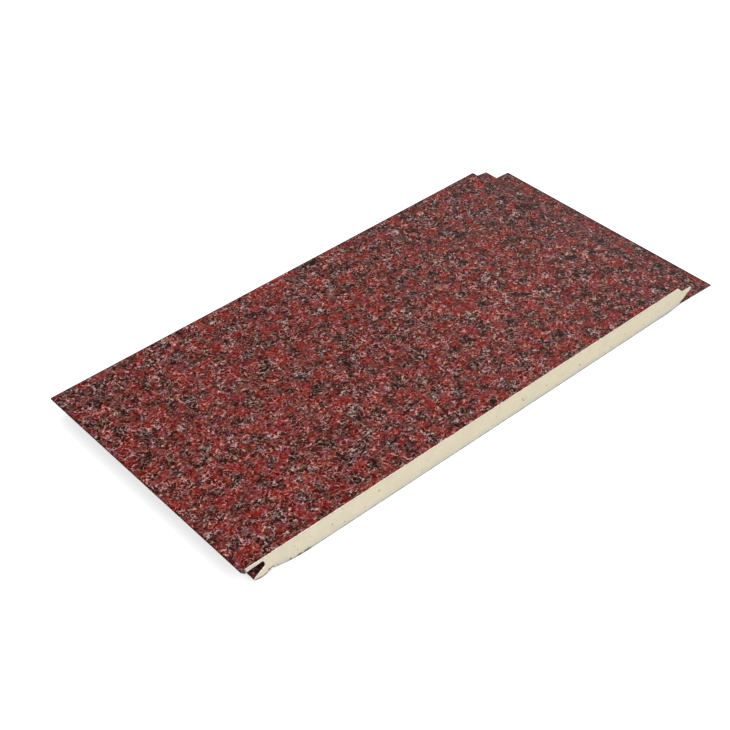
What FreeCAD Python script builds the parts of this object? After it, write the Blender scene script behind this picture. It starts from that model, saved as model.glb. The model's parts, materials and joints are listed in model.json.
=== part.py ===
import FreeCAD, Part
import math
import os
import Sketcher

# Insulated facade panel: a roll-formed facing sheet on a foam core with a foil back.
# X runs across the panel from the groove edge to the nailing flange.
# Y runs along its length and Z comes out of the coated face.
# The origin is the middle of the footprint, at the level of the back.

SIZES = [
    ("cover_width", 383.0, "from one joint line to the next"),
    ("panel_length", 203.0, "between the two cut ends"),
    ("panel_thickness", 18.0, "back to coated face"),
    ("sheet_thickness", 0.5, "facing sheet"),
    ("foil_thickness", 0.2, "backing foil"),
    ("bevel_angle", 45.0, "slope of the lip nose and of the step it meets, degrees"),
    ("joint_angle", 32.0, "slope of the groove floor and the tongue underside, degrees"),
    ("joint_gap", 0.6, "play between the two bevels of a closed joint"),
    ("nose_radius", 0.8, "coated side of the lip nose"),
    ("fold_radius", 0.8, "coated side of the small folds"),
    ("step_radius", 1.0, "coated side of the face end"),
    ("lip_depth", 4.0, "face to the foot of the upper lip"),
    ("lip_root", 2.4, "face to the groove ceiling at its end"),
    ("groove_depth", 17.0, "lip nose to the end of the groove"),
    ("groove_end", 4.74, "height of the groove at its end"),
    ("lower_lip_set", 6.5, "lip nose to the sharp corner of the lower lip"),
    ("lower_lip_radius", 1.3, "tip of the lower lip"),
    ("lobe_set", 15.5, "lip nose to the lowest corner of the lower lip"),
    ("lobe_height", 1.9, "back to that corner"),
    ("lobe_radius", 12.0, "belly of the lower lip"),
    ("lobe_end", 21.4, "lip nose to the rolled edge of the sheet"),
    ("lobe_end_height", 4.7, "back to the rolled edge of the sheet"),
    ("step_depth", 4.8, "face to the valley before the tongue"),
    ("tongue_reach", 13.6, "joint line to the tongue tip"),
    ("tongue_drop", 6.0, "face to the upper corner of the tongue tip"),
    ("tongue_tip", 2.25, "height of the tongue tip"),
    ("root_radius", 0.4, "coated side of the fold between tongue and flange"),
    ("flange_reach", 37.5, "joint line to the flange edge"),
    ("flange_rise", 2.0, "height the flange gains towards its root"),
    ("foam_margin", 1.5, "flange root to the end of the foam"),
    ("back_radius", 89.0, "round of the back towards both edges"),
    ("recess_width", 50.0, "lip nose to the start of the flat back"),
    ("notch_depth", 1.0, "notch behind the lower lip"),
    ("notch_width", 1.4, "rolled sheet edge to the far side of the notch"),
    ("foil_start", 31.0, "lip nose to the foil edge"),
    ("foil_margin", 2.0, "foil edge to the end of the foam"),
]

doc = FreeCAD.newDocument("facade_panel")
sheet = doc.addObject("Spreadsheet::Sheet", "Sizes")
for row, (name, value, note) in enumerate(SIZES, start=1):
    sheet.set(f"A{row}", name)
    sheet.set(f"B{row}", str(value))
    sheet.set(f"C{row}", note)
    sheet.setAlias(f"B{row}", name)
doc.recompute()

# Places worked out from the sizes
BEVEL = "tan(Sizes.bevel_angle * 1 deg)"
SLOPE = "tan(Sizes.joint_angle * 1 deg)"
NOSE_X = "Sizes.nose_radius * (1 - 1 / tan(Sizes.bevel_angle * 0.5 deg))"
CEILING_Z = "(Sizes.panel_thickness - Sizes.lip_root)"
GROOVE_FOOT_Z = f"({CEILING_Z} - Sizes.groove_end)"
LOWER_TIP_Z = f"{GROOVE_FOOT_Z} - (Sizes.groove_depth - Sizes.lower_lip_set) * {SLOPE}"
FACE_END_X = f"(Sizes.cover_width + {NOSE_X} - Sizes.joint_gap)"
TONGUE_X = "(Sizes.cover_width + Sizes.tongue_reach)"
TONGUE_TOP_Z = "(Sizes.panel_thickness - Sizes.tongue_drop)"
TONGUE_FOOT_Z = f"({TONGUE_TOP_Z} - Sizes.tongue_tip)"
ROOT_Z = "(Sizes.flange_rise + Sizes.sheet_thickness)"
ROOT_X = f"({TONGUE_X} - ({TONGUE_FOOT_Z} - {ROOT_Z}) / {SLOPE})"
FLANGE_X = "(Sizes.cover_width + Sizes.flange_reach)"
FOAM_END_X = f"({ROOT_X} + Sizes.foam_margin)"
FOAM_END_RISE = (
    f"(Sizes.flange_rise * ({FLANGE_X} - {FOAM_END_X}) / ({FLANGE_X} - {ROOT_X})"
    " - Sizes.foil_thickness)"
)
BACK_END_X = f"({FOAM_END_X} - sqrt({FOAM_END_RISE} * (2 * Sizes.back_radius - {FOAM_END_RISE})))"
TONGUE_RADIUS = "0.6 * Sizes.tongue_tip"

# Corners of the coated side, in the order the sheet is rolled, with the fold radius of each
COATED_LINE = [
    ("sheet_edge", "Sizes.lobe_end", "Sizes.lobe_end_height", None),
    ("lobe", "Sizes.lobe_set", "Sizes.lobe_height", "Sizes.lobe_radius"),
    ("lower_lip", "Sizes.lower_lip_set", LOWER_TIP_Z, "Sizes.lower_lip_radius"),
    ("groove_foot", "Sizes.groove_depth", GROOVE_FOOT_Z, "Sizes.fold_radius"),
    ("groove_head", "Sizes.groove_depth", CEILING_Z, "0.53 * Sizes.groove_end"),
    ("lip_foot", f"{NOSE_X} + Sizes.lip_depth / {BEVEL}", "Sizes.panel_thickness - Sizes.lip_depth",
     "Sizes.fold_radius"),
    ("nose", NOSE_X, "Sizes.panel_thickness", "Sizes.nose_radius"),
    ("face_end", FACE_END_X, "Sizes.panel_thickness", "Sizes.step_radius"),
    ("valley", f"{FACE_END_X} + Sizes.step_depth / {BEVEL}",
     "Sizes.panel_thickness - Sizes.step_depth", "Sizes.fold_radius"),
    ("tongue_head", TONGUE_X, TONGUE_TOP_Z, TONGUE_RADIUS),
    ("tongue_foot", TONGUE_X, TONGUE_FOOT_Z, TONGUE_RADIUS),
    ("root", ROOT_X, ROOT_Z, "Sizes.root_radius"),
    ("flange_edge", FLANGE_X, "Sizes.sheet_thickness", None),
]


def number(expression):
    """The value of an expression as a plain number."""
    value = sheet.evalExpression(expression)
    return float(getattr(value, "Value", value))


def new_section(label):
    """A body centred across the panel, with an empty sketch in its upright plane."""
    body = doc.addObject("PartDesign::Body", label)
    body.Label = label
    body.setExpression("Placement.Base.x", f"-{FLANGE_X} / 2")
    plane = [item for item in body.Origin.OriginFeatures if item.Role == "XZ_Plane"][0]
    sketch = body.newObject("Sketcher::SketchObject", f"{label}_section")
    sketch.AttachmentSupport = [(plane, "")]
    sketch.MapMode = "FlatFace"
    return body, sketch


def pad_section(body, sketch):
    """Run the section the whole length of the panel, half to each side."""
    pad = body.newObject("PartDesign::Pad", f"{body.Name}_length")
    pad.Profile = sketch
    pad.SideType = "Symmetric"
    pad.setExpression("Length", "Sizes.panel_length")
    sketch.Visibility = False


def bind(sketch, kind, name, expression, *places):
    """Add one named dimension and tie it to the size table."""
    index = sketch.addConstraint(Sketcher.Constraint(kind, *places, number(expression)))
    sketch.renameConstraint(index, name)
    sketch.setExpression(f"Constraints.{name}", expression)


def bind_place(sketch, name, across, height, geometry, point):
    """Hold one point of the sketch by its distance across and its height."""
    bind(sketch, "DistanceX", f"{name}_across", across, -1, 1, geometry, point)
    bind(sketch, "DistanceY", f"{name}_height", height, -1, 1, geometry, point)


def arc_between(centre, radius, first, last):
    """An arc that turns left from the first angle to the last."""
    circle = Part.Circle(centre, FreeCAD.Vector(0, 0, 1), radius)
    return Part.ArcOfCircle(circle, first, last)


def fold(before, corner, after, radius):
    """Centre, sense of turn and the two tangent points of a fold at a corner."""
    inward = (corner - before).normalize()
    outward = (after - corner).normalize()
    turn = math.atan2(inward.x * outward.y - inward.y * outward.x, inward.dot(outward))
    reach = radius * math.tan(abs(turn) / 2)
    sense = 1 if turn > 0 else -1
    start = corner - inward * reach
    centre = start + FreeCAD.Vector(-inward.y, inward.x, 0) * (sense * radius)
    return centre, sense, start, corner + outward * reach


def draw_rail(sketch, folds, first, last, offset, construction):
    """Straight runs joined by tangent arcs; the offset moves the rail to its right-hand side."""
    lines = []
    arcs = []
    begin = first
    for centre, sense, start, end in folds:
        radius = (start - centre).Length
        scale = (radius + sense * offset) / radius
        start = centre + (start - centre) * scale
        end = centre + (end - centre) * scale
        lines.append(sketch.addGeometry(Part.LineSegment(begin, start), construction))
        early, late = (start, end) if sense > 0 else (end, start)
        angles = [math.atan2(p.y - centre.y, p.x - centre.x) for p in (early, late)]
        if angles[1] < angles[0]:
            angles[1] += 2 * math.pi
        arc = arc_between(centre, radius * scale, angles[0], angles[1])
        arcs.append(sketch.addGeometry(arc, construction))
        begin = end
    lines.append(sketch.addGeometry(Part.LineSegment(begin, last), construction))
    joins = []
    for place, (centre, sense, start, end) in enumerate(folds):
        near, far = (1, 2) if sense > 0 else (2, 1)
        joins.append(Sketcher.Constraint("Tangent", lines[place], 2, arcs[place], near))
        joins.append(Sketcher.Constraint("Tangent", arcs[place], far, lines[place + 1], 1))
    sketch.addConstraint(joins)
    return lines, arcs


def draw_sheet(sketch, whole):
    """Both sides of the rolled sheet. The whole sheet is closed at its edges;
    otherwise only its inner side is kept, for the foam that fills it."""
    points = [FreeCAD.Vector(number(x), number(z), 0) for _, x, z, _ in COATED_LINE]
    radii = [number(radius) for _, _, _, radius in COATED_LINE[1:-1]]
    folds = [fold(*points[i:i + 3], radius) for i, radius in enumerate(radii)]
    thickness = number("Sizes.sheet_thickness")

    # Coated side, held by its corners and fold radii
    lines, arcs = draw_rail(sketch, folds, points[0], points[-1], 0, not whole)
    bind_place(sketch, *COATED_LINE[0][:3], lines[0], 1)
    for place, (name, across, height, radius) in enumerate(COATED_LINE[1:-1]):
        corner = sketch.addGeometry(Part.Point(points[place + 1]), True)
        sketch.addConstraint([
            Sketcher.Constraint("PointOnObject", corner, 1, lines[place]),
            Sketcher.Constraint("PointOnObject", corner, 1, lines[place + 1]),
        ])
        bind_place(sketch, name, across, height, corner, 1)
        bind(sketch, "Radius", f"{name}_radius", radius, arcs[place])
    bind_place(sketch, *COATED_LINE[-1][:3], lines[-1], 2)

    # Inner side, parallel to the coated side all along
    ends = []
    for edge, other in ((points[0], points[1]), (points[-1], points[-2])):
        along = (other - edge).normalize()
        ends.append(FreeCAD.Vector(along.y, -along.x, 0) * thickness)
    first = points[0] + ends[0]
    last = points[-1] - ends[1]
    inner, inner_arcs = draw_rail(sketch, folds, first, last, thickness, False)
    sketch.addConstraint(
        [Sketcher.Constraint("Coincident", a, 3, b, 3) for a, b in zip(arcs, inner_arcs)]
        + [Sketcher.Constraint("Parallel", a, b) for a, b in zip(lines, inner)]
    )

    # Rolled edge, where the thickness is set
    edge = sketch.addGeometry(Part.LineSegment(points[0], first), not whole)
    sketch.addConstraint([
        Sketcher.Constraint("Coincident", lines[0], 1, edge, 1),
        Sketcher.Constraint("Coincident", edge, 2, inner[0], 1),
        Sketcher.Constraint("Perpendicular", edge, lines[0]),
    ])
    bind(sketch, "Distance", "thickness", "Sizes.sheet_thickness", edge)
    if whole:
        rim = sketch.addGeometry(Part.LineSegment(points[-1], last), False)
        sketch.addConstraint([
            Sketcher.Constraint("Coincident", lines[-1], 2, rim, 1),
            Sketcher.Constraint("Coincident", rim, 2, inner[-1], 2),
            Sketcher.Constraint("Perpendicular", rim, lines[-1]),
        ])
    return inner


def draw_back(sketch, name, left, right, lift, radius):
    """Flat back with a round rising at each end, up to the two places across.
    Without a lift it lies at the level of the origin."""
    flat = number(lift) if lift else 0
    bend = number(radius)
    start = FreeCAD.Vector(number("Sizes.recess_width"), flat, 0)
    end = FreeCAD.Vector(number(BACK_END_X), flat, 0)
    up = FreeCAD.Vector(0, bend, 0)
    down = -math.pi / 2
    line = sketch.addGeometry(Part.LineSegment(end, start), False)
    swing = math.asin((start.x - left) / bend)
    recess = sketch.addGeometry(arc_between(start + up, bend, down - swing, down), False)
    swing = math.asin((right - end.x) / bend)
    ramp = sketch.addGeometry(arc_between(end + up, bend, down, down + swing), False)
    sketch.addConstraint([
        Sketcher.Constraint("Horizontal", line),
        Sketcher.Constraint("Tangent", line, 2, recess, 2),
        Sketcher.Constraint("Tangent", line, 1, ramp, 1),
    ])
    if lift:
        bind(sketch, "DistanceY", f"{name}_height", lift, -1, 1, line, 2)
    else:
        sketch.addConstraint(Sketcher.Constraint("PointOnObject", line, 2, -1))
    bind(sketch, "DistanceX", f"{name}_start", "Sizes.recess_width", -1, 1, line, 2)
    bind(sketch, "DistanceX", f"{name}_end", BACK_END_X, -1, 1, line, 1)
    bind(sketch, "Radius", f"{name}_recess", radius, recess)
    bind(sketch, "Radius", f"{name}_ramp", radius, ramp)
    return line, recess, ramp


# Facing sheet: lower lip, groove, upper lip, face, step, tongue and nailing flange in one strip
facing, facing_section = new_section("facing_sheet")
draw_sheet(facing_section, True)
doc.recompute()
pad_section(facing, facing_section)

# Foam core: fills the sheet and ends at the back
core, core_section = new_section("foam_core")
inner_side = draw_sheet(core_section, False)
core_section.solve()
NOTCH_X = "Sizes.lobe_end + Sizes.notch_width"
back_line, recess_arc, ramp_arc = draw_back(
    core_section, "back", number(NOTCH_X), number(FOAM_END_X), "Sizes.foil_thickness", "Sizes.back_radius"
)
core_section.addConstraint(Sketcher.Constraint("Coincident", ramp_arc, 2, inner_side[-1], 2))
bind(core_section, "DistanceX", "notch_side", NOTCH_X, -1, 1, recess_arc, 1)
side = core_section.Geometry[recess_arc].StartPoint
rolled = core_section.Geometry[inner_side[0]].StartPoint
apex = FreeCAD.Vector(side.x - 0.6 * number("Sizes.notch_width"), side.y + number("Sizes.notch_depth"), 0)
far_flank = core_section.addGeometry(Part.LineSegment(side, apex), False)
near_flank = core_section.addGeometry(Part.LineSegment(apex, rolled), False)
core_section.addConstraint([
    Sketcher.Constraint("Coincident", recess_arc, 1, far_flank, 1),
    Sketcher.Constraint("Coincident", far_flank, 2, near_flank, 1),
    Sketcher.Constraint("Coincident", near_flank, 2, inner_side[0], 1),
])
bind(core_section, "DistanceX", "notch_run", "0.6 * Sizes.notch_width", far_flank, 2, far_flank, 1)
bind(core_section, "DistanceY", "notch_rise", "Sizes.notch_depth", far_flank, 1, far_flank, 2)
doc.recompute()
pad_section(core, core_section)

# Backing foil: lies on the back of the foam, short of both edges
foil, foil_section = new_section("backing_foil")
FOIL_END_X = f"({FOAM_END_X} - Sizes.foil_margin)"
outer_line, outer_recess, outer_ramp = draw_back(
    foil_section, "outer", number("Sizes.foil_start"), number(FOIL_END_X),
    None, "Sizes.back_radius + Sizes.foil_thickness"
)
laid_line, laid_recess, laid_ramp = draw_back(
    foil_section, "laid", number("Sizes.foil_start"), number(FOIL_END_X),
    "Sizes.foil_thickness", "Sizes.back_radius"
)
for name, place, outer, laid, point in (
    ("start", "Sizes.foil_start", outer_recess, laid_recess, 1),
    ("finish", FOIL_END_X, outer_ramp, laid_ramp, 2),
):
    points = [foil_section.Geometry[arc] for arc in (outer, laid)]
    points = [arc.StartPoint if point == 1 else arc.EndPoint for arc in points]
    edge = foil_section.addGeometry(Part.LineSegment(*points), False)
    foil_section.addConstraint([
        Sketcher.Constraint("Coincident", outer, point, edge, 1),
        Sketcher.Constraint("Coincident", laid, point, edge, 2),
        Sketcher.Constraint("Vertical", edge),
    ])
    bind(foil_section, "DistanceX", f"foil_{name}", place, -1, 1, outer, point)
doc.recompute()
pad_section(foil, foil_section)

doc.recompute()
for item in doc.Objects:
    if "Invalid" in item.State or "Error" in item.State:
        raise RuntimeError(f"{item.Label} did not build: {item.State}")
os.makedirs("parts", exist_ok=True)
for body in (facing, core, foil):
    if body.Shape.isNull() or not body.Shape.isValid() or len(body.Shape.Solids) != 1:
        raise RuntimeError(f"{body.Label} is not one sound solid")
    body.Shape.exportStep(f"parts/{body.Label}.step")
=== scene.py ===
import json
import math
import random

import bmesh
import bpy
from mathutils import Matrix, Vector

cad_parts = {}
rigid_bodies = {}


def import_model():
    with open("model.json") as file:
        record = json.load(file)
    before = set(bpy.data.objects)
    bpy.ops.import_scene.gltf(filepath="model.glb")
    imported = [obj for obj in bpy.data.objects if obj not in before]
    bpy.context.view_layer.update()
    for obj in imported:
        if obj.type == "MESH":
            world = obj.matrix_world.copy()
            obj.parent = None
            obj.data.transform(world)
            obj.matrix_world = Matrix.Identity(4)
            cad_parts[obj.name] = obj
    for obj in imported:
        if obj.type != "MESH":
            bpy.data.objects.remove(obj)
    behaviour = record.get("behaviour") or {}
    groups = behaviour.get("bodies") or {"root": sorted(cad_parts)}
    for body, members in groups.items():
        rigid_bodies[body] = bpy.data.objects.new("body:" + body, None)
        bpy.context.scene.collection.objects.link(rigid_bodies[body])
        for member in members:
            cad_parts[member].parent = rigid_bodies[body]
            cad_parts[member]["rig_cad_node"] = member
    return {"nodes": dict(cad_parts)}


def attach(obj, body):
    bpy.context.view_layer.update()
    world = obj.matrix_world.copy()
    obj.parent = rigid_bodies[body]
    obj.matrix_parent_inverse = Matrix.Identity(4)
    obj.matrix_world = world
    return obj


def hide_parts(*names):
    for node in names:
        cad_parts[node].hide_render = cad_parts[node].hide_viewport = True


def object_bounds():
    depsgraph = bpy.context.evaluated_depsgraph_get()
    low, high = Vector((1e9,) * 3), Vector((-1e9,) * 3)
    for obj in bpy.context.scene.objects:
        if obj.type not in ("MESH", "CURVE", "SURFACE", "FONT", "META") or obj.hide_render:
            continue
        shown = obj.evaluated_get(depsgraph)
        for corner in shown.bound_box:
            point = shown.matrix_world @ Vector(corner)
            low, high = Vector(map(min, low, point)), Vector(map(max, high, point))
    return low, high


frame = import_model()
cad_low, cad_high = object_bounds()

# Sizes of the panel and limits for its meshes, in metres, from the frame and from the rolled profile
MM = 0.001
PER_METRE = 1000.0
NOSE = cad_low.x
NEAR_END = cad_low.y
FAR_END = cad_high.y
BACK = cad_low.z
LENGTH = FAR_END - NEAR_END
SHEET = 0.5 * MM
CUT_BEVEL = 0.06 * MM
SAME_PLACE = 0.01 * MM
WELD = 0.001 * MM

# Corners of the coated line, from the inner edge of the sheet round to the flange edge:
# millimetres from the nose, millimetres from the back, bend radius
COATED_LINE = [
    ("sheet_edge", 21.4, 4.7, 0.0),
    ("lobe", 15.5, 1.9, 12.0),
    ("lower_lip", 6.5, 4.299, 1.3),
    ("groove_foot", 17.0, 10.86, 0.8),
    ("groove_head", 17.0, 15.6, 2.51),
    ("lip_foot", 2.869, 14.0, 0.8),
    ("nose", -1.131, 18.0, 0.8),
    ("face_end", 381.269, 18.0, 1.0),
    ("valley", 386.069, 13.2, 0.8),
    ("tongue_head", 396.6, 12.0, 1.35),
    ("tongue_foot", 396.6, 9.75, 1.35),
    ("root", 384.998, 2.5, 0.4),
    ("flange_edge", 420.5, 0.5, 0.0),
]

# Folds: largest angle of a step round them, and least number of steps
FOLD_STEP = math.radians(11)
LEAST_FOLD_STEPS = 5

# Angles between faces that count as a cut edge, as smooth, and as flat
CUT_EDGE = math.radians(60)
SMOOTH_SHEET = math.radians(40)
SMOOTH_FOAM = math.radians(35)
FLAT = math.radians(0.5)

# Zones of the profile, in millimetres from the nose and from the back: where each one starts
# and is full, and, where it ends again, where it fades and ends
ZONES = {
    "groove_inside": ((8.5, 15.0, 18.5, 24.0), (5.0, 8.0, 15.8, 16.6)),
    "flange_foot": ((370.0, 380.0, 386.5, 394.0), (8.0, 3.5)),
    "rolled_edge": ((1.1, 0.2), (15.0, 16.5)),
    "valley": ((383.6, 385.6, 387.4, 389.4), (15.2, 14.0)),
    "under_lip": ((8.5, 10.5, 30.0, 40.0), (4.6, 3.4)),
    "under_tongue": ((383.0, 385.0, 396.8, 398.0), (11.6, 10.4)),
    "round_nose": ((3.6, 2.2), (13.0, 13.6)),
    "under_nose": ((14.0, 10.0), (13.0, 13.6, 14.7, 15.4)),
    "on_flange": ((396.5, 400.0), (6.0, 4.0)),
    "lower_lip": ((24.0, 22.0), (7.0, 6.0)),
    "upper_lip": ((13.0, 6.0), (13.0, 14.5)),
    "lip_tip": ((4.4, 2.8), (13.0, 14.0)),
}


# Handling of pieces
def take(piece):
    """Leaves one piece selected and active."""
    bpy.ops.object.select_all(action="DESELECT")
    piece.select_set(True)
    bpy.context.view_layer.objects.active = piece


def open_mesh(piece, mode):
    """Goes into edit mode with nothing selected."""
    take(piece)
    bpy.ops.object.mode_set(mode="EDIT")
    bpy.ops.mesh.select_mode(type=mode)
    bpy.ops.mesh.select_all(action="DESELECT")


def close_mesh():
    """Goes back to object mode."""
    bpy.ops.object.mode_set(mode="OBJECT")


def pick_edges(piece, wanted):
    """Selects the edges whose two ends are both wanted places."""
    bpy.ops.mesh.select_all(action="DESELECT")
    mesh = bmesh.from_edit_mesh(piece.data)
    for edge in mesh.edges:
        edge.select_set(all(wanted(corner.co) for corner in edge.verts))
    bmesh.update_edit_mesh(piece.data)


def finish_modifier(piece, kind, **settings):
    """Adds one modifier, sets it and applies it."""
    take(piece)
    modifier = piece.modifiers.new(kind.lower(), kind)
    for name, value in settings.items():
        setattr(modifier, name, value)
    bpy.ops.object.modifier_apply(modifier=modifier.name)


# Shader wiring
class Wire:
    """One output socket, with arithmetic that adds Math nodes."""

    def __init__(self, finish, socket):
        self.finish = finish
        self.socket = socket

    def math(self, operation, *values):
        return self.finish.add("ShaderNodeMath", {"operation": operation}, dict(enumerate(values)))

    def __add__(self, other):
        return self.math("ADD", self, other)

    def __radd__(self, other):
        return self.math("ADD", other, self)

    def __sub__(self, other):
        return self.math("SUBTRACT", self, other)

    def __rsub__(self, other):
        return self.math("SUBTRACT", other, self)

    def __mul__(self, other):
        return self.math("MULTIPLY", self, other)

    def __rmul__(self, other):
        return self.math("MULTIPLY", other, self)

    def __truediv__(self, other):
        return self.math("DIVIDE", self, other)

    def __abs__(self):
        return self.math("ABSOLUTE", self)

    def most(self, other):
        return self.math("MAXIMUM", self, other)

    def least(self, other):
        return self.math("MINIMUM", self, other)

    def step(self, low, high):
        """Goes smoothly from 0 at low to 1 at high."""
        settings = {"interpolation_type": "SMOOTHSTEP"}
        return self.finish.add("ShaderNodeMapRange", settings, {0: self, 1: low, 2: high, 3: 0.0, 4: 1.0})

    def window(self, start, full, fade=None, end=None):
        """Goes from 0 at start to 1 at full, and, where they are given, from 1 at fade to 0 at end."""
        inside = self.step(start, full)
        return inside if end is None else inside * self.step(end, fade)


def zone(name, across, height):
    """How far a place on the profile lies in a named zone."""
    sideways, upwards = ZONES[name]
    return across.window(*sideways) * height.window(*upwards)


# Scale and shift of places, averages of noise, and the rays that show what is seen
IN_MILLIMETRES = (PER_METRE, PER_METRE, PER_METRE)
NO_SHIFT = (0.0, 0.0, 0.0)
NOISE_CENTRE = (0.5, 0.5, 0.5)
NOISE_MEAN = 0.5
SEEN_RAYS = ("Is Camera Ray", "Is Glossy Ray", "Is Transmission Ray")


class Finish:
    """One material, or the world, and the nodes in it."""

    def __init__(self, block):
        block.use_nodes = True
        self.block = block
        self.tree = block.node_tree
        self.tree.nodes.clear()

    def add(self, kind, settings=None, sockets=None, output=0):
        """Adds a node, sets it up, fills its sockets and gives back one of its outputs."""
        node = self.tree.nodes.new(kind)
        for name, value in (settings or {}).items():
            if name == "stops":
                ramp = node.color_ramp
                while len(ramp.elements) < len(value):
                    ramp.elements.new(0.5)
                for element, (place, colour) in zip(ramp.elements, value):
                    element.position = place
                    element.color = (*colour, 1.0)
            else:
                setattr(node, name, value)
        for name, value in (sockets or {}).items():
            socket = node.inputs[name]
            if isinstance(value, Wire):
                self.tree.links.new(value.socket, socket)
            elif socket.type == "RGBA":
                socket.default_value = (*value, 1.0)
            else:
                socket.default_value = value
        return Wire(self, node.outputs[output]) if len(node.outputs) else None

    def place(self, scales=IN_MILLIMETRES, shift=NO_SHIFT):
        """Object coordinates in the given numbers of units a metre."""
        spot = self.add("ShaderNodeTexCoord", output="Object")
        settings = {"vector_type": "POINT"}
        return self.add("ShaderNodeMapping", settings, {"Vector": spot, "Location": shift, "Scale": scales})

    def profile(self):
        """Millimetres across from the nose, along from mid-length and up from the back."""
        return self.place(shift=(-PER_METRE * NOSE, 0.0, -PER_METRE * BACK))

    def part(self, spot, axis):
        """One of the three numbers of a place."""
        return self.add("ShaderNodeSeparateXYZ", {}, {0: spot}, axis)

    def noise(self, where, scale, detail=2.0, roughness=0.5, distortion=0.0, output="Fac"):
        """Noise with so many waves a unit of place."""
        sockets = {
            "Vector": where,
            "Scale": scale,
            "Detail": detail,
            "Roughness": roughness,
            "Distortion": distortion,
        }
        return self.add("ShaderNodeTexNoise", {"noise_dimensions": "3D"}, sockets, output)

    def cells(self, where, scale, feature="F1"):
        """Distance from the middle of the nearest cell."""
        settings = {"voronoi_dimensions": "3D", "feature": feature}
        return self.add("ShaderNodeTexVoronoi", settings, {"Vector": where, "Scale": scale}, "Distance")

    def ramp(self, tone, tones, colours):
        """One colour at each tone, and a blend between them."""
        return self.add("ShaderNodeValToRGB", {"stops": list(zip(tones, colours))}, {0: tone})

    def blend(self, share, first, second, kind="MIX"):
        """Mixes two colours."""
        settings = {"data_type": "RGBA", "blend_type": kind}
        return self.add("ShaderNodeMix", settings, {0: share, 6: first, 7: second}, 2)

    def moved(self, where, shift):
        """Moves a place."""
        return self.add("ShaderNodeVectorMath", {"operation": "ADD"}, {0: where, 1: shift})

    def pushed(self, where, push, reach):
        """Moves a place by a noise colour, for ragged outlines."""
        centred = self.add("ShaderNodeVectorMath", {"operation": "SUBTRACT"}, {0: push, 1: NOISE_CENTRE})
        scaled = self.add("ShaderNodeVectorMath", {"operation": "SCALE"}, {0: centred, "Scale": reach})
        return self.moved(where, scaled)

    def raised(self, height, depth, under=None):
        """A bump of the given depth in metres, on top of another one."""
        sockets = {"Height": height, "Strength": 1.0, "Distance": depth}
        if under is not None:
            sockets["Normal"] = under
        return self.add("ShaderNodeBump", {}, sockets)

    def seen(self):
        """1 for what is seen straight, mirrored or through glass, and 0 for all other light."""
        straight, mirrored, through = [self.add("ShaderNodeLightPath", output=ray) for ray in SEEN_RAYS]
        return straight.most(mirrored).most(through)

    def surface(self, sockets):
        """Closes the material with one shader."""
        shader = self.add("ShaderNodeBsdfPrincipled", {}, sockets)
        self.add("ShaderNodeOutputMaterial", {}, {"Surface": shader})
        return self.block


def new_finish(name):
    """An empty material."""
    return Finish(bpy.data.materials.new(name))


# Granite print: each mineral keeps its own hue from dark to light
TONES = (0.0, 0.15, 0.3, 0.45, 0.6, 0.8, 1.0)
FELDSPAR = [
    (0.042, 0.003, 0.0),
    (0.088, 0.003, 0.001),
    (0.156, 0.007, 0.005),
    (0.243, 0.037, 0.028),
    (0.334, 0.091, 0.077),
    (0.468, 0.205, 0.18),
    (0.632, 0.374, 0.338),
]
WINE_RED = [
    (0.034, 0.002, 0.0),
    (0.073, 0.002, 0.001),
    (0.129, 0.011, 0.014),
    (0.208, 0.042, 0.046),
    (0.299, 0.097, 0.1),
    (0.433, 0.211, 0.203),
    (0.607, 0.375, 0.356),
]
MICA = [
    (0.012, 0.001, 0.0),
    (0.04, 0.005, 0.003),
    (0.079, 0.028, 0.021),
    (0.137, 0.063, 0.057),
    (0.214, 0.119, 0.11),
    (0.343, 0.232, 0.217),
    (0.517, 0.389, 0.367),
]

# Granite print: casts that multiply the minerals, and the colour of the painted shade and the darker edges
COOL_CAST = (1.0, 0.965, 1.13)
WARM_CAST = (1.0, 1.02, 0.82)
PLAIN_CAST = (1.0, 1.0, 1.0)
RICH_CAST = (1.11, 0.8, 0.72)
DULL_CAST = (0.9, 1.03, 1.05)
PAINTED_SHADE = (0.008, 0.004, 0.004)

# Granite print: reach of its ragged outlines, another place in the noise, and how the red fades
# with each millimetre away from the near groove corner and drifts in broad clouds
RAGGED = 3.6
OTHER_PLACE = (311.0, 57.0, 93.0)
MID_WIDTH = 210.0
FADING_ACROSS = 0.0001
FADING_ALONG = 0.00006
CLOUDING = 0.14

# Granite print: where each pattern begins to show, and where it is full
PRINT_EDGES = {
    "grey": (0.665, 0.335),
    "rich": (0.6, 0.76),
    "dull": (0.42, 0.26),
    "wine": (0.46, 0.62),
    "stroke": (0.09, 0.0),
    "chip": (0.68, 0.8),
    "soot": (0.35, 0.22),
    "lively": (0.38, 0.62),
    "glint": (0.71, 0.8),
    "warm": (0.37, 0.63),
    "pale": (0.45, 0.8),
}

# Granite print: average of the strokes, and shares of the patterns in its light and dark, among them the
# painted highlights
STROKE_MEAN = 0.33
STROKES = 0.5
MOTTLING = 1.47
SPECKLING = 0.42
PAINTED_GLINT = 0.42
PALE_CHIPS = 0.26
CLOT_LIMIT = 0.02
CLOTS = 0.3
CLOTS_IN_MICA = 1.2
SOOT = 0.04
SOOT_IN_MICA = 0.18

# Granite print: level and contrast of its light and dark, and how some patterns change them
LEVEL = 0.396
MICA_DARKER = 0.082
DULL_DARKER = 0.09
RICH_DARKER = 0.03
CONTRAST = 0.36
LIVELY_CONTRAST = 0.88
MICA_CONTRAST = 0.37

# Granite print: shares of broad and narrow patches in its warmth, and calm of the palest grains
BROAD_PATCHES = 0.55
NARROW_PATCHES = 0.45
PALE_CALM = 0.5

# Coating: roughness, and depth of the emboss
COAT_ROUGHNESS = 0.38
MOTTLE_ROUGHNESS = 0.16
EMBOSS = 0.16 * MM
EMBOSSED_SPECKS = 0.6
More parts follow.
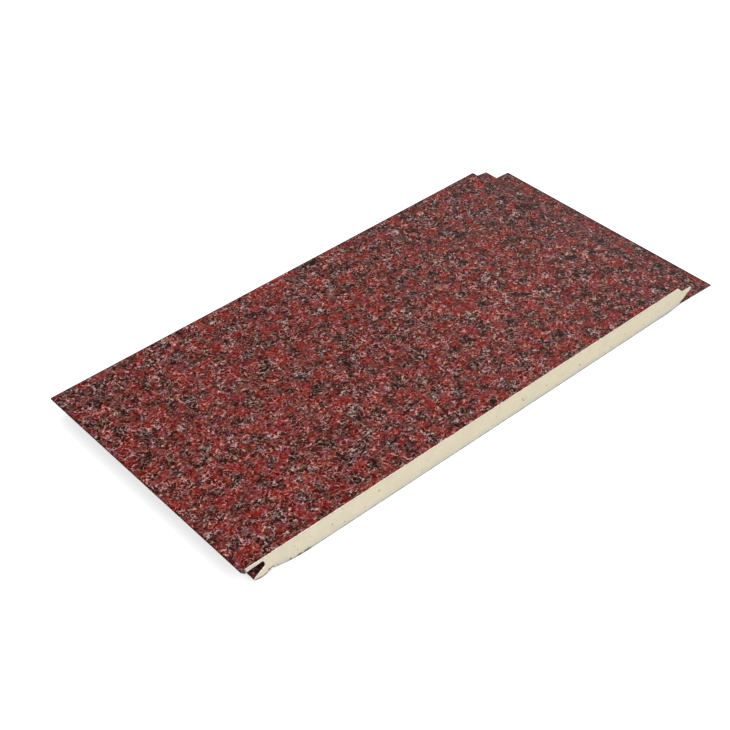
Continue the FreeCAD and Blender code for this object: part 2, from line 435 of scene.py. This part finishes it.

# Painted shade and darker edges: places in millimetres along from mid-length or across from the nose, and
# shares
FAR_EDGE = (100.2, 101.2)
FLANGE_EDGE = (418.3, 419.8)
VALLEY_END = (-96.0, -100.0)
FLANGE_START = (397.0, 401.0)
GROOVE_SHADE = 0.85
FOOT_SHADE = 0.8
ROLLED_EDGE_SHADE = 0.5
VALLEY_SHADE = 0.5
VALLEY_END_SHADE = 0.42
FAR_EDGE_DARKENING = 0.55
FLANGE_EDGE_DARKENING = 0.8
FLANGE_SHADE = 0.12


def granite_print():
    """Satin coating with a red granite print, on sheet embossed with a fine stucco."""
    coat = new_finish("granite_coating")
    spot = coat.place()
    profile = coat.profile()
    across = coat.part(profile, "X")
    along = coat.part(profile, "Y")
    height = coat.part(profile, "Z")
    drift = coat.noise(spot, scale=0.28, output="Color")
    ragged = coat.pushed(spot, drift, RAGGED)
    other = coat.moved(ragged, OTHER_PLACE)

    # Map of the minerals: grey where mica lies, wine red in parts of the feldspar
    fading = (across - MID_WIDTH) * FADING_ACROSS + along * FADING_ALONG
    cloud = coat.noise(spot, scale=0.027, detail=1.0) - NOISE_MEAN
    field = coat.noise(other, scale=0.1, roughness=0.52) + cloud * CLOUDING - fading
    grey = field.step(*PRINT_EDGES["grey"])
    rich = field.step(*PRINT_EDGES["rich"])
    dull = field.step(*PRINT_EDGES["dull"])
    wine = coat.noise(ragged, scale=0.11, detail=1.0).step(*PRINT_EDGES["wine"])

    # Light and dark: winding pale strokes on the emboss ridges, which are painted highlights, over a
    # mottle, with painted glints, pale chips and dark clots
    worm = coat.noise(ragged, scale=0.34, detail=1.0) - NOISE_MEAN
    ridge = abs(worm).step(*PRINT_EDGES["stroke"])
    mottle = coat.noise(other, scale=0.5, roughness=0.6)
    speck = coat.noise(spot, scale=0.76, roughness=0.6)
    clot = (coat.noise(ragged, scale=0.17) - NOISE_MEAN).least(CLOT_LIMIT)
    chip = coat.noise(spot, scale=0.42, detail=0.0).step(*PRINT_EDGES["chip"])
    soot = coat.noise(ragged, scale=0.24, detail=0.0).step(*PRINT_EDGES["soot"])
    lively = coat.noise(ragged, scale=0.2, detail=1.0).step(*PRINT_EDGES["lively"])
    glint = coat.noise(other, scale=0.85, detail=0.0).step(*PRINT_EDGES["glint"])
    # The pale strokes on the ridges are painted highlights of the emboss
    fine = (ridge - STROKE_MEAN) * STROKES
    fine = fine + (mottle - NOISE_MEAN) * MOTTLING + (speck - NOISE_MEAN) * SPECKLING
    contrast = CONTRAST + lively * lively * LIVELY_CONTRAST + grey * MICA_CONTRAST
    level = LEVEL - grey * MICA_DARKER - dull * DULL_DARKER - rich * RICH_DARKER
    # The glints are painted highlights
    tone = level + fine * contrast + glint * PAINTED_GLINT + chip * PALE_CHIPS
    tone = tone + clot * (CLOTS + grey * CLOTS_IN_MICA) - soot * (SOOT + grey * SOOT_IN_MICA)

    # Hues: the minerals, then warm and cool patches, calmer in the palest grains
    reds = coat.blend(wine, coat.ramp(tone, TONES, FELDSPAR), coat.ramp(tone, TONES, WINE_RED))
    mixed = coat.blend(grey, reds, coat.ramp(tone, TONES, MICA))
    broad = coat.noise(other, scale=0.16, detail=1.0)
    narrow = coat.noise(spot, scale=0.36, detail=1.0)
    warmth = (broad * BROAD_PATCHES + narrow * NARROW_PATCHES).step(*PRINT_EDGES["warm"])
    cast = coat.blend(warmth, COOL_CAST, WARM_CAST)
    calm = tone.step(*PRINT_EDGES["pale"]) * PALE_CALM
    mixed = coat.blend(1.0 - calm, mixed, cast, "MULTIPLY")
    vivid = coat.blend(dull, coat.blend(rich, PLAIN_CAST, RICH_CAST), DULL_CAST)
    mixed = coat.blend(1.0, mixed, vivid, "MULTIPLY")

    # Painted shade deep in the groove, at the foot of the flange, in the valley, on the flange and along
    # the rolled nose, and darker along the far cut edge and the flange edge
    in_valley = VALLEY_SHADE + along.step(*VALLEY_END) * VALLEY_END_SHADE
    painted_shade = zone("groove_inside", across, height) * GROOVE_SHADE
    painted_shade = painted_shade.most(zone("flange_foot", across, height) * FOOT_SHADE)
    painted_shade = painted_shade.most(zone("rolled_edge", across, height) * ROLLED_EDGE_SHADE)
    painted_shade = painted_shade.most(zone("valley", across, height) * in_valley)
    painted_shade = painted_shade.most(along.step(*FAR_EDGE) * FAR_EDGE_DARKENING)
    painted_shade = painted_shade.most(across.step(*FLANGE_EDGE) * FLANGE_EDGE_DARKENING)
    painted_shade = painted_shade.most(across.step(*FLANGE_START) * FLANGE_SHADE)

    # Stucco emboss: winding ridges about three millimetres apart
    relief = ridge + speck * EMBOSSED_SPECKS
    return coat.surface({
        # Painted shade and darker edges over the print
        "Base Color": coat.blend(painted_shade, mixed, PAINTED_SHADE),
        "Roughness": COAT_ROUGHNESS + mottle * MOTTLE_ROUGHNESS,
        "Normal": coat.raised(relief, EMBOSS),
        "Specular IOR Level": 0.045,
    })


# Primer on the hidden side: colours, marks of the coating roller, roughness and emboss
PRIMER_DARK = (0.44, 0.44, 0.41)
PRIMER_LIGHT = (0.56, 0.555, 0.53)
PRIMER_CLOUD = (0.35, 0.65)
ROLLER_MARKS = (400.0, 30.0, 400.0)
PRIMER_ROUGHNESS = 0.45
ROLLER_ROUGHNESS = 0.2
PRIMER_EMBOSS = 0.05 * MM


def primer_back():
    """Thin grey service coat on the hidden side of the sheet."""
    coat = new_finish("primer_back")
    spot = coat.place()
    cloud = coat.noise(spot, scale=0.08, detail=4.0, roughness=0.6)
    roller = coat.noise(coat.place(ROLLER_MARKS), scale=1.0)
    relief = coat.noise(spot, scale=0.45, detail=1.0, distortion=0.6)
    return coat.surface({
        "Base Color": coat.blend(cloud.step(*PRIMER_CLOUD), PRIMER_DARK, PRIMER_LIGHT),
        "Roughness": PRIMER_ROUGHNESS + roller * ROLLER_ROUGHNESS,
        "Normal": coat.raised(relief, PRIMER_EMBOSS),
    })


# Cut edges of the sheet: colours, dark rims that are partly burr and partly painted shade under the lips,
# the nose and the tongue and on the flange, roughness and scratches of the saw
DULL_METAL = (0.5, 0.43, 0.38)
BARE_METAL = (0.86, 0.78, 0.71)
BARE_SMEAR = (0.35, 0.6)
BURR_AND_SHADE = (0.03, 0.026, 0.024)
BURR_AND_SHADE_SMEAR = (0.4, 0.58)
BURR_AND_SHADE_LEAST = 0.75
BURR_AND_SHADE_MORE = 0.25
FLANGE_BURR_AND_SHADE = 0.8
METAL_ROUGHNESS = 0.42
SMEAR_ROUGHNESS = 0.25
SAW_MARKS = (900.0, 900.0, 7000.0)
SAW_DEPTH = 0.02 * MM


def sawn_aluminium():
    """Bare metal on the cut edges of the sheet, dulled by the saw."""
    metal = new_finish("sawn_aluminium")
    spot = metal.profile()
    across = metal.part(spot, "X")
    height = metal.part(spot, "Z")
    smear = metal.noise(spot, scale=0.6, detail=3.0, roughness=0.6)
    tint = metal.blend(smear.step(*BARE_SMEAR), DULL_METAL, BARE_METAL)
    # Dark rims: partly the burr, partly painted shade under the lips, the nose and the tongue and on the
    # flange
    burr_and_shade = zone("on_flange", across, height) * FLANGE_BURR_AND_SHADE
    for name in ("under_lip", "under_tongue", "round_nose", "under_nose"):
        burr_and_shade = burr_and_shade.most(zone(name, across, height))
    burr_and_shade = burr_and_shade * (BURR_AND_SHADE_LEAST + smear.step(*BURR_AND_SHADE_SMEAR) * BURR_AND_SHADE_MORE)
    scratch = metal.noise(metal.place(SAW_MARKS), scale=1.0, roughness=0.6)
    return metal.surface({
        "Base Color": metal.blend(burr_and_shade, tint, BURR_AND_SHADE),
        "Metallic": 1.0,
        "Roughness": METAL_ROUGHNESS + smear * SMEAR_ROUGHNESS,
        "Normal": metal.raised(scratch, SAW_DEPTH),
    })


# Foam: colours of the foam itself
FOAM_DEEP = (0.742, 0.67, 0.507)
FOAM_PALE = (0.792, 0.726, 0.57)

# Foam: share and colour of each layer over it, in order: the open cells, painted shade in the pinholes, the
# unsawn skin colour that is painted shade in the voids, a grey band and dark dashes along the foil, red
# dust under the face, and marks on the two lips, partly painted shade
FOAM_LAYERS = {
    "tinge": (0.6, (0.755, 0.68, 0.478)),
    "grit": (0.4, (0.6, 0.5, 0.33)),
    "cell": (0.25, (0.55, 0.46, 0.3)),
    "pinhole_shade": (0.75, (0.32, 0.24, 0.14)),
    "skin_and_shade": (1.0, (0.45, 0.35, 0.21)),
    "haze": (1.0, (0.6, 0.585, 0.53)),
    "silver": (1.0, (0.55, 0.55, 0.56)),
    "grey_band": (1.0, (0.28, 0.27, 0.255)),
    "dark_dashes": (0.85, (0.1, 0.08, 0.06)),
    "red_dust": (1.0, (0.66, 0.52, 0.41)),
    "lower_burr_and_shade": (1.0, (0.13, 0.11, 0.085)),
    "upper_lip": (0.9, (0.62, 0.615, 0.585)),
    "lip_tip": (0.95, (0.04, 0.022, 0.02)),
}

# Foam: where each pattern begins to show, and where it is full
FOAM_EDGES = {
    "cloud": (0.32, 0.68),
    "tinge": (0.42, 0.66),
    "grit": (0.5, 0.34),
    "cell": (0.34, 0.1),
    "pinhole_shade": (0.1, 0.055),
    "blot": (0.54, 0.6),
    "upper_lip": (0.2, 0.55),
}

# Foam: marks that change from patch to patch: where a patch begins to show and is full,
# the least share of the mark, and what a full patch adds
PATCHES = {
    "haze": ((0.35, 0.65), 0.4, 0.4),
    "silver": ((0.4, 0.6), 0.4, 0.45),
    "grey_band": ((0.38, 0.6), 0.5, 0.45),
    "red_dust": ((0.35, 0.65), 0.25, 0.5),
    "lower_burr_and_shade": ((0.4, 0.6), 0.6, 0.35),
}

# Foam: depth under the sawn end where the unsawn skin colour, painted shade in the voids, starts and is
# full, and the line of the foil, flat in the middle and curved up towards both edges, in millimetres
HALF_LENGTH = 0.5 * PER_METRE * LENGTH
SKIN_AND_SHADE_DEPTH = (0.12, 0.7)
FOIL = 0.2
FOIL_START = (22.5, 24.0)
FLAT_START = 50.0
FLAT_END = 369.1
FOIL_CURVE = 178.0

# Foam: centre of the round lobe of the lower lip in millimetres, and its rim in square millimetres
LOBE_ACROSS = 14.33
LOBE_HEIGHT = 14.63
LOBE_RIM = (112.0, 125.0)

# Foam: how high the marks reach above the foil, or above the back for red dust, and where
# they run across, in millimetres
HAZE_HEIGHT = (6.0, 1.2)
SILVER_HEIGHT = (3.0, 1.6)
SILVER_RUN = (335.0, 352.0, 374.0, 380.0)
GREY_BAND_HEIGHT = (1.5, 0.4)
DASH_HEIGHT = (2.1, 1.3)
DASH_RUN = (25.0, 27.0, 54.0, 60.0)
RED_DUST_HEIGHT = (15.6, 17.3)
CELL_DEPTH = 0.25 * MM
GRIT_DEPTH = 0.2 * MM


def cream_foam():
    """Rigid cream foam, sawn open: fine cells, painted shade in the voids, the pinholes and at the lips,
    and marks along the foil and under the face.
    """
    foam = new_finish("foam")
    spot = foam.profile()
    across = foam.part(spot, "X")
    along = foam.part(spot, "Y")
    height = foam.part(spot, "Z")
    cloud = foam.noise(spot, scale=0.09, detail=4.0, roughness=0.6)
    tinge = foam.noise(spot, scale=0.045)
    grit = foam.noise(spot, scale=1.4, detail=3.0, roughness=0.65)
    cell = foam.cells(spot, scale=2.2)
    pinhole_shade = foam.cells(spot, scale=0.15)
    patch = foam.noise(spot, scale=0.35, detail=3.0, roughness=0.6)
    blot = foam.noise(spot, scale=0.2, detail=1.0)
    depth = HALF_LENGTH - abs(along)

    def patchy(name):
        """The share of a mark, which changes from patch to patch."""
        edges, least, more = PATCHES[name]
        return least + patch.step(*edges) * more

    # Height above the foil, and distance from the lobe as a square
    left = (FLAT_START - across).most(0.0)
    right = (across - FLAT_END).most(0.0)
    above_foil = height - FOIL - (left * left + right * right) / FOIL_CURVE
    on_foil = across.step(*FOIL_START)
    from_lobe = across - LOBE_ACROSS
    over_lobe = height - LOBE_HEIGHT
    lobe_square = from_lobe * from_lobe + over_lobe * over_lobe

    # Where each layer lies
    dark_dashes = above_foil.step(*DASH_HEIGHT) * across.window(*DASH_RUN)
    lower_lip = lobe_square.step(*LOBE_RIM) * zone("lower_lip", across, height)
    silver = above_foil.step(*SILVER_HEIGHT) * across.window(*SILVER_RUN)
    masks = {
        "tinge": tinge.step(*FOAM_EDGES["tinge"]),
        "grit": grit.step(*FOAM_EDGES["grit"]),
        "cell": cell.step(*FOAM_EDGES["cell"]),
        # Painted shade of pinholes
        "pinhole_shade": pinhole_shade.step(*FOAM_EDGES["pinhole_shade"]),
        # Unsawn foam colour, which is painted shade inside the voids
        "skin_and_shade": depth.step(*SKIN_AND_SHADE_DEPTH),
        "haze": above_foil.step(*HAZE_HEIGHT) * on_foil * patchy("haze"),
        "silver": silver * patchy("silver"),
        "grey_band": above_foil.step(*GREY_BAND_HEIGHT) * on_foil * patchy("grey_band"),
        "dark_dashes": dark_dashes * blot.step(*FOAM_EDGES["blot"]),
        "red_dust": height.step(*RED_DUST_HEIGHT) * patchy("red_dust"),
        # Dark rim under the lower lip: partly its burr, partly painted shade
        "lower_burr_and_shade": lower_lip * patchy("lower_burr_and_shade"),
        "upper_lip": zone("upper_lip", across, height) * patch.step(*FOAM_EDGES["upper_lip"]),
        # Painted shade at the upper lip's tip, together with the dark sheet rim
        "lip_tip": zone("lip_tip", across, height),
    }
    tint = foam.blend(cloud.step(*FOAM_EDGES["cloud"]), FOAM_DEEP, FOAM_PALE)
    for name, (share, colour) in FOAM_LAYERS.items():
        tint = foam.blend(masks[name] * share, tint, colour)
    return foam.surface({
        "Base Color": tint,
        "Roughness": 0.92,
        "Normal": foam.raised(grit, GRIT_DEPTH, foam.raised(cell, CELL_DEPTH)),
        "Specular IOR Level": 0.2,
    })


# Backing foil: colours, roughness, pressed pattern and creases
FOIL_DARK = (0.6, 0.61, 0.62)
FOIL_LIGHT = (0.76, 0.77, 0.78)
FOIL_CLOUD = (0.3, 0.7)
FOIL_ROUGHNESS = 0.3
CLOUD_ROUGHNESS = 0.22
PRESSED_CELLS = (420.0, 420.0, 420.0)
PRESSED_DEPTH = 0.1 * MM
CREASE_WIDTH = (0.03, 0.0)
CREASE_DEPTH = 0.12 * MM


def backing_foil():
    """Embossed aluminium foil with light creases."""
    foil = new_finish("foil")
    spot = foil.place()
    cloud = foil.noise(spot, scale=0.05, detail=4.0, roughness=0.6)
    cross = foil.cells(foil.place(PRESSED_CELLS), scale=1.0, feature="SMOOTH_F1")
    fold = foil.noise(spot, scale=0.035, detail=3.0, distortion=0.8) - NOISE_MEAN
    crease = abs(fold).step(*CREASE_WIDTH)
    return foil.surface({
        "Base Color": foil.blend(cloud.step(*FOIL_CLOUD), FOIL_DARK, FOIL_LIGHT),
        "Metallic": 1.0,
        "Roughness": FOIL_ROUGHNESS + cloud * CLOUD_ROUGHNESS,
        "Normal": foil.raised(crease, CREASE_DEPTH, foil.raised(cross, PRESSED_DEPTH)),
    })


# Facing: one strip rolled through all its folds
def at(corner):
    """A corner of the coated line in the frame, seen from the near end."""
    return Vector((NOSE + corner[1] * MM, BACK + corner[2] * MM))


def fold_at(index):
    """Where one fold starts and ends, its centre and its turn."""
    before = at(COATED_LINE[index - 1])
    here = at(COATED_LINE[index])
    after = at(COATED_LINE[index + 1])
    radius = COATED_LINE[index][3] * MM
    come = (here - before).normalized()
    leave = (after - here).normalized()
    turn = math.atan2(come.x * leave.y - come.y * leave.x, come.dot(leave))
    reach = radius * math.tan(abs(turn) / 2)
    side = math.copysign(1.0, turn)
    start = here - come * reach
    centre = start + Vector((-come.y, come.x)) * radius * side
    return start, here + leave * reach, centre, turn


def rolled_facing():
    """The coated strip, from its edge in the foam round the groove, over the face and out to the flange."""
    folds = [fold_at(index) for index in range(1, len(COATED_LINE) - 1)]
    first = at(COATED_LINE[0])
    end = folds[0][0]
    run = end - first
    middle = first + run / 2
    bpy.ops.object.select_all(action="DESELECT")
    bpy.ops.mesh.primitive_plane_add(
        size=1.0,
        location=(middle.x, (NEAR_END + FAR_END) / 2, middle.y),
        rotation=(0.0, -math.atan2(run.y, run.x), 0.0),
    )
    strip = bpy.context.active_object
    strip.name = "granite_facing"
    strip.scale = (run.length, LENGTH, 1.0)
    bpy.ops.object.transform_apply(location=True, rotation=True, scale=True)

    open_mesh(strip, "EDGE")
    pick_edges(strip, lambda co: (Vector((co.x, co.z)) - end).length < SAME_PLACE)
    for index, (_, leave, centre, turn) in enumerate(folds):
        bpy.ops.mesh.spin(
            steps=max(LEAST_FOLD_STEPS, math.ceil(abs(turn) / FOLD_STEP)),
            angle=turn,
            center=(centre.x, 0.0, centre.y),
            axis=(0.0, 1.0, 0.0),
        )
        ahead = folds[index + 1][0] if index + 1 < len(folds) else at(COATED_LINE[-1])
        go = ahead - leave
        bpy.ops.mesh.extrude_region_move(TRANSFORM_OT_translate={"value": (go.x, 0.0, go.y)})
    bpy.ops.mesh.select_all(action="SELECT")
    bpy.ops.mesh.remove_doubles(threshold=WELD)
    bpy.ops.mesh.normals_make_consistent(inside=False)
    mesh = bmesh.from_edit_mesh(strip.data)
    widest = max(mesh.faces, key=lambda face: face.calc_area())
    if widest.normal.z < 0:
        bpy.ops.mesh.flip_normals()
    close_mesh()

    # Coated side, hidden side and cut edges, in the order that the thickness needs
    for finish in (granite_print(), primer_back(), sawn_aluminium()):
        strip.data.materials.append(finish)
    finish_modifier(
        strip,
        "SOLIDIFY",
        thickness=SHEET,
        offset=-1.0,
        use_even_offset=True,
        material_offset=1,
        material_offset_rim=2,
    )
    finish_modifier(
        strip,
        "BEVEL",
        width=CUT_BEVEL,
        segments=1,
        limit_method="ANGLE",
        angle_limit=CUT_EDGE,
    )
    take(strip)
    bpy.ops.object.shade_smooth_by_angle(angle=SMOOTH_SHEET)
    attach(strip, "root")
    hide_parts("facing_sheet")


# Blow holes: seed and number, then ranges: millimetres from the nose, from the back and of the radius,
# turn in radians, and stretch along the three axes
HOLE_SEED = 7
HOLES_AN_END = 18
HOLE_ACROSS = (26.0, 378.0)
HOLE_HEIGHT = (2.5, 15.5)
HOLE_RADIUS = (0.35, 0.8)
HOLE_TURN = (-1.5, 1.5)
HOLE_STRETCH = [(1.0, 1.7), (1.3, 2.0), (0.7, 1.0)]

# Crumbled spots at the tongue and the lower lip: places and range of the radius, in millimetres
CRUMBLED = [(394.6, 10.4), (392.4, 8.3), (389.6, 6.2), (386.4, 3.9), (385.4, 13.4), (19.6, 5.4)]
CRUMBLED_RADIUS = (0.55, 0.95)


# Foam: the core with blow holes opened by the saw
def blow_holes():
    """Round voids opened by the saw along both ends, and crumbled spots, as one object."""
    dice = random.Random(HOLE_SEED)
    spots = []
    for end in (NEAR_END, FAR_END):
        for _ in range(HOLES_AN_END):
            across = dice.uniform(*HOLE_ACROSS)
            height = dice.uniform(*HOLE_HEIGHT)
            spots.append((across, end, height, dice.uniform(*HOLE_RADIUS)))
        for across, height in CRUMBLED:
            spots.append((across, end, height, dice.uniform(*CRUMBLED_RADIUS)))
    holes = []
    for across, end, height, radius in spots:
        bpy.ops.object.select_all(action="DESELECT")
        bpy.ops.mesh.primitive_ico_sphere_add(
            subdivisions=2,
            radius=radius * MM,
            location=(NOSE + across * MM, end, BACK + height * MM),
            rotation=(0.0, dice.uniform(*HOLE_TURN), 0.0),
        )
        hole = bpy.context.active_object
        hole.scale = [dice.uniform(*stretch) for stretch in HOLE_STRETCH]
        holes.append(hole)
    take(holes[0])
    for hole in holes:
        hole.select_set(True)
    bpy.ops.object.transform_apply(location=True, rotation=True, scale=True)
    bpy.ops.object.join()
    return bpy.context.active_object


def foam_filling():
    """The foam between sheet and foil, with its two sawn ends."""
    take(frame["nodes"]["foam_core"])
    bpy.ops.object.duplicate()
    foam = bpy.context.active_object
    foam.name = "foam_filling"
    # The copy is a piece of its own, so it does not keep the mark of the CAD node
    del foam["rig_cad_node"]
    open_mesh(foam, "VERT")
    bpy.ops.mesh.select_all(action="SELECT")
    bpy.ops.mesh.remove_doubles(threshold=WELD)
    bpy.ops.mesh.dissolve_limited(angle_limit=FLAT)
    close_mesh()
    bpy.ops.mesh.customdata_custom_splitnormals_clear()
    holes = blow_holes()
    finish_modifier(foam, "BOOLEAN", operation="DIFFERENCE", object=holes, solver="EXACT")
    bpy.data.objects.remove(holes, do_unlink=True)
    foam.data.materials.clear()
    foam.data.materials.append(cream_foam())
    take(foam)
    bpy.ops.object.shade_smooth_by_angle(angle=SMOOTH_FOAM)
    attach(foam, "root")
    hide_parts("foam_core")


# Floor: side and gap under the panel, colour, and glow from near the panel to far from it, in metres
FLOOR_SIDE = 40.0
FLOOR_GAP = 0.05 * MM
FLOOR_PAPER = (0.62, 0.62, 0.62)
NEAR_GLOW = (0.68, 0.68, 0.68)
FAR_GLOW = (0.85, 0.85, 0.85)
NO_GLOW = (0.0, 0.0, 0.0)
GLOW_REACH = (0.3, 1.6)

# Lamps, all turned to the middle of the panel: name, place and side in metres, power in watts
LAMPS = [
    ("overhead", (0.1, 0.2, 1.6), 1.4, 7.0),
    ("key", (-0.1, -1.05, 1.15), 0.9, 10.5),
    ("front_fill", (-0.35, -1.5, 0.4), 1.0, 6.5),
    ("far_softbox", (1.2, 0.7, 0.85), 0.55, 4.7),
]

# Sky: strength where it lights the panel, and where it is seen
SKY_COLOUR = (1.0, 1.0, 1.0)
SKY_LIGHT = 0.42
SKY_SEEN = 1.0

# Camera: the photograph's viewpoint, in a square frame of so many pixels
FRAME_SIDE = 730.0
FOCAL_PIXELS = 1463.869
SENSOR = 36.0
EYE = (-0.505204, -0.580065, 0.642729)
AZIMUTH = math.radians(39.395)
ELEVATION = math.radians(40.453)
ROLL = math.radians(-2.59)
NEAREST = 0.01
FARTHEST = 50.0


# Floor, light and camera
def pale_floor():
    """A wide white floor that keeps the soft shadow."""
    bpy.ops.object.select_all(action="DESELECT")
    bpy.ops.mesh.primitive_plane_add(size=FLOOR_SIDE, location=(0.0, 0.0, BACK - FLOOR_GAP))
    floor = bpy.context.active_object
    floor.name = "floor"
    paper = new_finish("floor_paper")
    spot = paper.add("ShaderNodeTexCoord", output="Object")
    away = paper.add("ShaderNodeVectorMath", {"operation": "LENGTH"}, {0: spot}, "Value")
    glow = paper.blend(away.step(*GLOW_REACH), NEAR_GLOW, FAR_GLOW)
    floor.data.materials.append(paper.surface({
        "Base Color": FLOOR_PAPER,
        "Roughness": 0.9,
        "Specular IOR Level": 0.0,
        "Emission Color": paper.blend(paper.seen(), NO_GLOW, glow),
        "Emission Strength": 1.0,
    }))


def soft_light(name, spot, side, power):
    """One large square lamp turned to the middle of the panel."""
    bpy.ops.object.select_all(action="DESELECT")
    bpy.ops.object.light_add(type="AREA", location=spot)
    lamp = bpy.context.active_object
    lamp.name = name
    lamp.data.shape = "SQUARE"
    lamp.data.size = side
    lamp.data.energy = power
    lamp.rotation_euler = (-Vector(spot)).to_track_quat("-Z", "Y").to_euler()


def studio_light():
    """The lamps, and a sky that is white where it is seen and dimmer where it lights the panel."""
    for name, spot, side, power in LAMPS:
        soft_light(name, spot, side, power)
    world = bpy.data.worlds.new("studio")
    bpy.context.scene.world = world
    sky = Finish(world)
    strength = SKY_LIGHT + sky.seen() * (SKY_SEEN - SKY_LIGHT)
    light = sky.add("ShaderNodeBackground", {}, {"Color": SKY_COLOUR, "Strength": strength})
    sky.add("ShaderNodeOutputWorld", {}, {"Surface": light})


def camera():
    """The camera at the photograph's viewpoint."""
    ahead = Vector((
        math.sin(AZIMUTH) * math.cos(ELEVATION),
        math.cos(AZIMUTH) * math.cos(ELEVATION),
        -math.sin(ELEVATION),
    ))
    right = Vector((math.cos(AZIMUTH), -math.sin(AZIMUTH), 0.0))
    up = right.cross(ahead)
    across = right * math.cos(ROLL) + up * math.sin(ROLL)
    along = up * math.cos(ROLL) - right * math.sin(ROLL)
    turn = Matrix((across, along, -ahead)).transposed()
    bpy.ops.object.select_all(action="DESELECT")
    bpy.ops.object.camera_add(location=EYE, rotation=turn.to_euler())
    eye = bpy.context.active_object
    eye.data.sensor_width = SENSOR
    eye.data.lens = SENSOR * FOCAL_PIXELS / FRAME_SIDE
    eye.data.clip_start = NEAREST
    eye.data.clip_end = FARTHEST
    bpy.context.scene.camera = eye


rolled_facing()
foam_filling()
frame["nodes"]["backing_foil"].material_slots[0].material = backing_foil()
pale_floor()
studio_light()
camera()
bpy.context.scene.view_settings.view_transform = "Standard"
